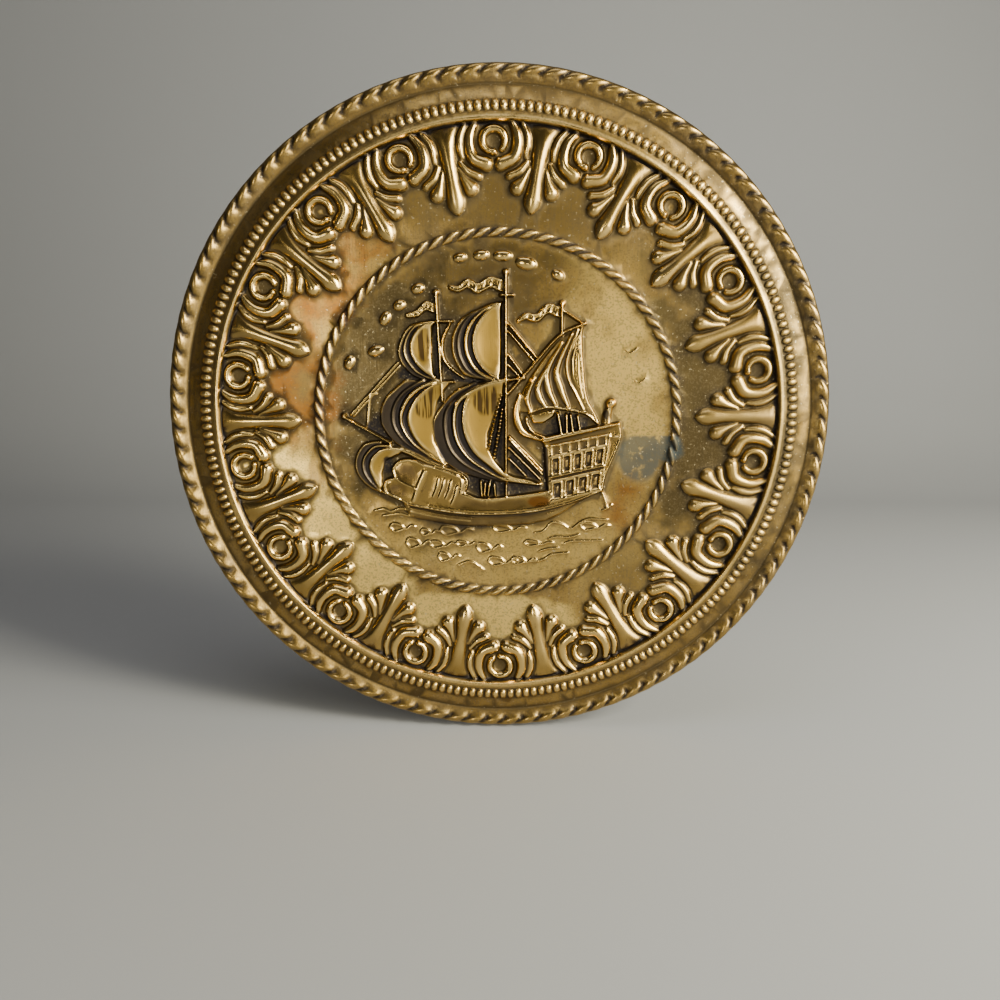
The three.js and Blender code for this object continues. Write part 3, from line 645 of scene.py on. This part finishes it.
starts = np.cumsum([0] + [len(r) for r in rings])
tris = []
for k in range(len(rings) - 1):
    na, nb = len(rings[k]), len(rings[k + 1])
    m = min(na, nb)
    ratio = max(na, nb) // m
    j = np.arange(m)
    nxt = (j + 1) % m
    swap = nb < na
    coarse, dense = (starts[k + 1], starts[k]) if swap else (starts[k], starts[k + 1])
    middle = (ratio + 1) // 2
    for i in range(ratio):
        c = coarse + (j if i < middle else nxt)
        f0 = dense + (j * ratio + i) % (m * ratio)
        f1 = dense + (j * ratio + i + 1) % (m * ratio)
        tris.append(np.column_stack([f0, c, f1] if swap else [c, f0, f1]))
    f = dense + (j * ratio + middle) % (m * ratio)
    c0, c1 = coarse + j, coarse + nxt
    tris.append(np.column_stack([f, c0, c1] if swap else [c0, f, c1]))
origin = np.zeros(1)
points = np.vstack(rings + [[[0, 0, sample(height, origin, origin)[0]]],
                            [[0, 0, sample(behind, origin, origin)[0] - SHEET]]])
first = np.arange(len(rings[0]))
tris.append(np.column_stack([np.full(len(first), len(points) - 2), first, np.roll(first, -1)]))
last = starts[-2] + np.arange(len(rings[-1]))
tris.append(np.column_stack([last, np.full(len(last), len(points) - 1), np.roll(last, -1)]))
tris = np.vstack(tris)
world = np.column_stack([points[:, 0], -points[:, 2], points[:, 1] - REST]) / 1000

mesh = bpy.data.meshes.new("dense")
mesh.vertices.add(len(world))
mesh.vertices.foreach_set("co", world.astype(np.float32).ravel())
mesh.loops.add(3 * len(tris))
mesh.loops.foreach_set("vertex_index", tris.astype(np.int32).ravel())
mesh.polygons.add(len(tris))
mesh.polygons.foreach_set("loop_start", np.arange(0, 3 * len(tris), 3, dtype=np.int32))
mesh.update(calc_edges=True)
mesh.validate()

plaque = bpy.data.objects.new("pressed_plaque", mesh)
bpy.context.scene.collection.objects.link(plaque)
MOST = 192000
if len(tris) > MOST:
    thin = plaque.modifiers.new("thin", "DECIMATE")
    thin.ratio = MOST / len(tris)
    graph = bpy.context.evaluated_depsgraph_get()
    slim = bpy.data.meshes.new_from_object(plaque.evaluated_get(graph))
    plaque.modifiers.clear()
    plaque.data = slim
    bpy.data.meshes.remove(mesh)
mesh = plaque.data
mesh.name = "pressed_plaque"
mesh.polygons.foreach_set("use_smooth", np.ones(len(mesh.polygons), dtype=bool))

# Normals come from the fine surface, and the skin keeps its hollows with painted shade on steep sides, raised
# work, cloth with its painted sheen, and soot with painted shade.
co = np.empty(3 * len(mesh.vertices), dtype=np.float32)
mesh.vertices.foreach_get("co", co)
co = co.reshape(-1, 3) * 1000
x, y, h = co[:, 0], co[:, 2] + REST, -co[:, 1]
radius = np.hypot(x, y)
own = np.empty(3 * len(mesh.vertices), dtype=np.float32)
mesh.vertices.foreach_get("normal", own)
own = own.reshape(-1, 3)
front = (radius < ROLL_JOIN) & (np.abs(h - sample(height, x, y)) < 0.25)
fine = np.column_stack([-sample(slope_x, x, y), -np.ones(len(x)), -sample(slope_y, x, y)])
fine /= np.linalg.norm(fine, axis=1)[:, None]
mesh.normals_split_custom_set_from_vertices(np.where(front[:, None], fine, own))
over_roll = np.degrees(np.arctan2(h - ROLL, radius - RIM + ROLL))
# The edge rope's grooves get painted shade.
rope_groove_shade = np.where(radius > ROLL_JOIN, 0.75 * groove(np.arctan2(y, x), over_roll), 0)
for name, grid, edge in (("hollow_and_flank_shade", cavity_and_flank_shade, 0), ("raised", raised, 0), ("cloth_sheen", cloth_sheen, 0),
                         ("face", np.ones_like(GX), 0), ("soot_and_shade", soot_and_shade, rope_groove_shade)):
    values = mesh.attributes.new(name, "FLOAT", "POINT")
    values.data.foreach_set("value", np.where(front, sample(grid, x, y), edge).astype(np.float32))

# Aged brass.
brass = bpy.data.materials.new("aged_brass")
brass.use_nodes = True
tree = brass.node_tree
shader = tree.nodes["Principled BSDF"]
shader.inputs["Metallic"].default_value = 1.0


def node(kind, **values):
    """A new shader node with its settings."""
    made = tree.nodes.new(kind)
    for key, value in values.items():
        setattr(made, key, value)
    return made


def link(source, target):
    """Joins two shader sockets."""
    tree.links.new(source, target)


def math_node(operation, a, b):
    """The result of one operation on two masks or numbers."""
    made = node("ShaderNodeMath", operation=operation)
    for k, value in enumerate((a, b)):
        if isinstance(value, (int, float)):
            made.inputs[k].default_value = value
        else:
            link(value, made.inputs[k])
    return made.outputs[0]


def chain(operation, values):
    """One operation over several masks or numbers in turn."""
    out = values[0]
    for value in values[1:]:
        out = math_node(operation, out, value)
    return out


def most(*masks):
    """The largest of several masks."""
    return chain("MAXIMUM", masks)


def times(*masks):
    """The product of several masks."""
    return chain("MULTIPLY", masks)


def plus(*masks):
    """The sum of several masks."""
    return chain("ADD", masks)


place = node("ShaderNodeTexCoord").outputs["Object"]


def noise(scale, detail=4.0, stretch=(1, 1, 1), turn=0.0):
    """Cloudy noise over the plaque."""
    mapping = node("ShaderNodeMapping")
    mapping.inputs["Scale"].default_value = stretch
    mapping.inputs["Rotation"].default_value = (0, turn, 0)
    link(place, mapping.inputs["Vector"])
    made = node("ShaderNodeTexNoise")
    made.inputs["Scale"].default_value = scale
    made.inputs["Detail"].default_value = detail
    link(mapping.outputs[0], made.inputs["Vector"])
    return made.outputs["Fac"]


def band(value, low, high):
    """0 below low, 1 above high, smooth between; low may be the larger."""
    made = node("ShaderNodeMapRange", interpolation_type="SMOOTHSTEP")
    made.inputs["From Min"].default_value = min(low, high)
    made.inputs["From Max"].default_value = max(low, high)
    if low > high:
        made.inputs["To Min"].default_value = 1.0
        made.inputs["To Max"].default_value = 0.0
    link(value, made.inputs["Value"])
    return made.outputs[0]


def mix(mask, under, tint):
    """A colour under a tint that a mask lets through."""
    made = node("ShaderNodeMix", data_type="RGBA")
    link(mask, made.inputs[0])
    for k, value in ((6, under), (7, tint)):
        if isinstance(value, tuple):
            made.inputs[k].default_value = (*value, 1)
        else:
            link(value, made.inputs[k])
    return made.outputs[2]


def attribute(name):
    """A value that the skin carries."""
    return node("ShaderNodeAttribute", attribute_name=name).outputs["Fac"]


face = attribute("face")


def patch(x_mm, y_mm, half_x, half_y, wander=0.25, soft=0.18):
    """1 inside a patch on the front with an uneven edge, 0 outside."""
    centre = node("ShaderNodeVectorMath", operation="SUBTRACT")
    link(place, centre.inputs[0])
    centre.inputs[1].default_value = (x_mm / 1000, 0, (y_mm - REST) / 1000)
    scaled = node("ShaderNodeVectorMath", operation="MULTIPLY")
    link(centre.outputs[0], scaled.inputs[0])
    scaled.inputs[1].default_value = (1000 / half_x, 0, 1000 / half_y)
    length = node("ShaderNodeVectorMath", operation="LENGTH")
    link(scaled.outputs[0], length.inputs[0])
    wavy = times(math_node("SUBTRACT", noise(90, 3), 0.5), 4 * wander)
    return times(band(plus(length.outputs["Value"], wavy), 0.92 + soft, 0.92 - soft), face)


GOLD = (0.48, 0.315, 0.095)
OLIVE = (0.38, 0.245, 0.072)
MOTTLE = (0.33, 0.23, 0.11)
DULL = (0.29, 0.215, 0.11)
# Painted reflection: bright gold laid on the field, the sky and the sea.
GLARE_GOLD = (0.94, 0.66, 0.21)
WORN = (0.80, 0.56, 0.20)
# Painted sheen on the sail cloth.
CLOTH_SHEEN_GOLD = (0.50, 0.31, 0.062)
COPPER = (0.27, 0.100, 0.018)
BROWN = (0.10, 0.060, 0.024)
# Tarnish that also serves as painted shade on the field and frieze at the right.
TARNISH_SHADE_TINT = (0.048, 0.037, 0.020)
# Dark tints for grime and soot, which also paint shade.
GRIME_SHADE_TINT = (0.056, 0.043, 0.027)
SOOT_SHADE_TINT = (0.028, 0.025, 0.028)
SLATE = (0.052, 0.066, 0.072)
DUST = (0.62, 0.52, 0.34)
GRAIN = (0.13, 0.10, 0.055)

# Bare metal with fine scratches, and painted reflections: bright gold on the field at the lower left, on the
# sky and on the sea.
flat = band(attribute("raised"), 0.6, 0.1)
cloth = attribute("cloth_sheen")
hair = noise(60, 3, (30, 30, 1.2), 0.12)
medal = patch(0, 0, 80, 80, 0.0, 0.05)
outside = math_node("SUBTRACT", 1.0, medal)
colour = mix(band(noise(28, 5), 0.35, 0.7), OLIVE, GOLD)
colour = mix(times(band(noise(55, 6), 0.48, 0.72), 0.6), colour, MOTTLE)
colour = mix(times(band(hair, 0.5, 0.62), flat, 0.35), colour, DULL)
lower_left_glare = most(patch(-62, -60, 34, 34, 0.3), patch(-98, -22, 20, 32, 0.3), patch(-8, -88, 44, 14, 0.3))
sky_glare = times(patch(48, 18, 26, 38, 0.6, 0.5), 0.75)
sea_glare = times(patch(10, -56, 64, 22, 0.5, 0.5), 0.35)
colour = mix(times(most(times(lower_left_glare, outside), sky_glare, sea_glare), flat), colour, GLARE_GOLD)

# Sail cloth in a gold with a painted sheen and brown strokes, and a brown wash on the hull and the
# forecastle.
colour = mix(times(cloth, 0.9), colour, CLOTH_SHEEN_GOLD)
wash = most(patch(2, -36.8, 18, 3.4, 0.3, 0.3), patch(-39.5, -23.6, 5.4, 5.6, 0.3, 0.3),
            patch(-43, -30.6, 5.6, 4, 0.3, 0.3), patch(0, -43.6, 36, 3, 0.3, 0.3))
colour = mix(times(wash, 0.55), colour, BROWN)
strokes = most(patch(-30.4, 7, 4.6, 8.4, 0.3), patch(-4.8, 8.6, 5.2, 7, 0.3), patch(-30.2, 32, 3.4, 7.6, 0.3))
strokes = times(strokes, band(noise(60, 2, (12, 1, 0.7), 0.1), 0.45, 0.53))
colour = mix(times(strokes, cloth), colour, BROWN)

# Tarnish on the sky at the left and on the field at the top and the right, also painted shade that darkens
# the field and the raised work at the right: place, half-axes and share.
TARNISH_AND_SHADE_SPOTS = ((-48, 22, 46, 60, 0.45, 1.0, medal), (-14, 60, 40, 22, 0.42, 0.65, medal),
                 (6, 90, 70, 18, 0.42, 0.6, outside), (90, 6, 46, 82, 0.42, 1.0, outside),
                 (62, -66, 26, 22, 0.42, 0.6, outside), (-84, 8, 16, 22, 0.42, 0.5, outside))
tarnish_and_shade = most(*(times(patch(*spot, 0.5, soft), share, where) for *spot, soft, share, where in TARNISH_AND_SHADE_SPOTS))
# Raised work outside the picture gets part of it as painted shade.
ledge = most(flat, times(outside, 0.3))
colour = mix(times(tarnish_and_shade, ledge, 0.93), colour, TARNISH_SHADE_TINT)

# Copper that shows through, and a blue-grey stain with a straight upper edge.
copper = most(patch(-72, 52, 18, 14, 0.4), patch(-88, 36, 12, 16, 0.4), patch(-57, 72, 12, 9, 0.4),
              times(patch(-84, 14, 16, 26, 0.5, 0.5), 0.9), times(patch(55, -39, 7, 15, 0.6, 0.4), 0.95))
copper = most(times(copper, flat, band(noise(70, 4), 0.28, 0.6)), patch(17.5, -35.4, 5, 2.6, 0.15))
colour = mix(times(copper, 0.85), colour, COPPER)
level = node("ShaderNodeSeparateXYZ")
link(place, level.inputs[0])
below = band(level.outputs[2], (-6.6 - REST) / 1000, (-7.6 - REST) / 1000)
slate = most(patch(60.8, -16.6, 10.4, 11.4, 0.08), patch(71, -12, 9, 7, 0.15))
slate = times(slate, below, band(noise(300, 4), 0.2, 0.45))

# Worn crests, dirt in the hollows and painted shade on steep sides, soot with painted shade, specks, dust and
# grain.
hollow_and_flank_shade = attribute("hollow_and_flank_shade")
dim = math_node("SUBTRACT", 1.0, times(tarnish_and_shade, outside, 0.55))
colour = mix(times(band(hollow_and_flank_shade, -0.08, -0.5), dim), colour, WORN)
uneven = times(math_node("SUBTRACT", noise(140, 5), 0.5), 0.35)
grime_and_flank_shade = times(band(plus(hollow_and_flank_shade, uneven), 0.05, 0.5), 0.95)
soot_and_shade_mask = band(plus(attribute("soot_and_shade"), uneven), 0.15, 0.7)
colour = mix(times(grime_and_flank_shade, 0.92), colour, GRIME_SHADE_TINT)
colour = mix(times(soot_and_shade_mask, 0.94), colour, SOOT_SHADE_TINT)
colour = mix(times(slate, 0.88), colour, SLATE)
colour = mix(times(band(noise(700, 2), 0.70, 0.76), 0.55), colour, GRIME_SHADE_TINT)
colour = mix(times(band(noise(820, 2), 0.66, 0.74), flat, 0.5), colour, DUST)
colour = mix(times(band(noise(1300, 3), 0.5, 0.62), flat, 0.4), colour, GRAIN)
link(colour, shader.inputs["Base Color"])

rough = plus(0.11, times(noise(40, 6), 0.14), times(flat, 0.13), times(cloth, 0.16),
             times(tarnish_and_shade, outside, 0.16), times(most(grime_and_flank_shade, soot_and_shade_mask, slate), 0.25))
link(rough, shader.inputs["Roughness"])


def bump(rise, strength, distance):
    """A bump node for a height."""
    made = node("ShaderNodeBump")
    made.inputs["Strength"].default_value = strength
    made.inputs["Distance"].default_value = distance
    link(rise, made.inputs["Height"])
    return made


scratches = bump(plus(times(hair, 0.35), times(noise(900, 2), 0.12)), 0.2, 0.0004)
waves = bump(noise(38, 2), 0.06, 0.0012)
link(scratches.outputs[0], waves.inputs["Normal"])
link(waves.outputs[0], shader.inputs["Normal"])

mesh.materials.clear()
mesh.materials.append(brass)
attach(plaque, "root")
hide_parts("plaque")

# Stage: a pale floor that sweeps up into a backdrop well behind the plaque.
FLOOR = -(REST + RIM + 1) / 1000
STAGE_HALF = 2.5
SWEEP = [(-2.5, 0.0), (0.55, 0.0), (0.68, 0.02), (0.80, 0.10), (0.86, 0.24), (0.88, 0.5), (0.88, 2.2)]
verts = [(x, y, FLOOR + z) for y, z in SWEEP for x in (-STAGE_HALF, STAGE_HALF)]
faces = [(2 * i, 2 * i + 1, 2 * i + 3, 2 * i + 2) for i in range(len(SWEEP) - 1)]
stage_mesh = bpy.data.meshes.new("stage")
stage_mesh.from_pydata(verts, [], faces)
stage_mesh.polygons.foreach_set("use_smooth", [True] * len(faces))
stage = bpy.data.objects.new("stage", stage_mesh)
bpy.context.scene.collection.objects.link(stage)
pale = bpy.data.materials.new("pale_stage")
pale.use_nodes = True
pale_shader = pale.node_tree.nodes["Principled BSDF"]
pale_shader.inputs["Base Color"].default_value = (0.31, 0.32, 0.36, 1)
pale_shader.inputs["Roughness"].default_value = 0.9
stage_mesh.materials.append(pale)

# Lights: warm panels at the right, dimmer ones at the left and behind the camera, and a ceiling.
PLATE_CENTRE = Vector((0, 0, -REST / 1000))
WHITE = (1, 1, 1)
WARM = (1, 0.94, 0.70)


def panel(name, place_m, width, tall, power, tint):
    """A soft panel that faces the plate's centre."""
    light = bpy.data.lights.new(name, "AREA")
    light.shape = "RECTANGLE"
    light.size = width
    light.size_y = tall
    light.energy = power
    light.color = tint
    lamp = bpy.data.objects.new(name, light)
    lamp.location = place_m
    lamp.rotation_euler = (PLATE_CENTRE - Vector(place_m)).to_track_quat("-Z", "Y").to_euler()
    bpy.context.scene.collection.objects.link(lamp)


panel("window", (0.66, -0.48, 0.30), 0.26, 0.34, 12, WARM)
panel("right_wall", (0.92, -0.44, 0.16), 0.60, 0.60, 14, WARM)
panel("right_front", (0.78, -0.82, -0.02), 0.44, 0.50, 7.5, WARM)
panel("left", (-0.56, -1.50, -0.26), 0.28, 0.42, 7, WARM)
panel("high_left", (-0.46, -1.50, 0.14), 0.22, 0.30, 1.1, WARM)
panel("behind_camera", (0.22, -1.60, -0.10), 0.10, 0.07, 0.5, WARM)
panel("ceiling", (0.0, -0.34, 0.95), 0.8, 0.5, 2.6, WHITE)
room = bpy.data.worlds.new("soft_room")
room.use_nodes = True
room.node_tree.nodes["Background"].inputs["Color"].default_value = (0.55, 0.54, 0.52, 1)
room.node_tree.nodes["Background"].inputs["Strength"].default_value = 0.13
bpy.context.scene.world = room

# Camera: near, a little above the middle, looking slightly down.
CAMERA_PLACE = (0.00675, -0.34076, 0.02797 - REST / 1000)
CAMERA_AIM = Vector((-0.0163, 0.9827, -0.1843))
camera = bpy.data.cameras.new("camera")
camera.lens = 28.49
camera.sensor_width = 36
camera.clip_start = 0.01
eye = bpy.data.objects.new("camera", camera)
eye.location = CAMERA_PLACE
eye.rotation_euler = CAMERA_AIM.to_track_quat("-Z", "Y").to_euler()
bpy.context.scene.collection.objects.link(eye)
bpy.context.scene.camera = eye
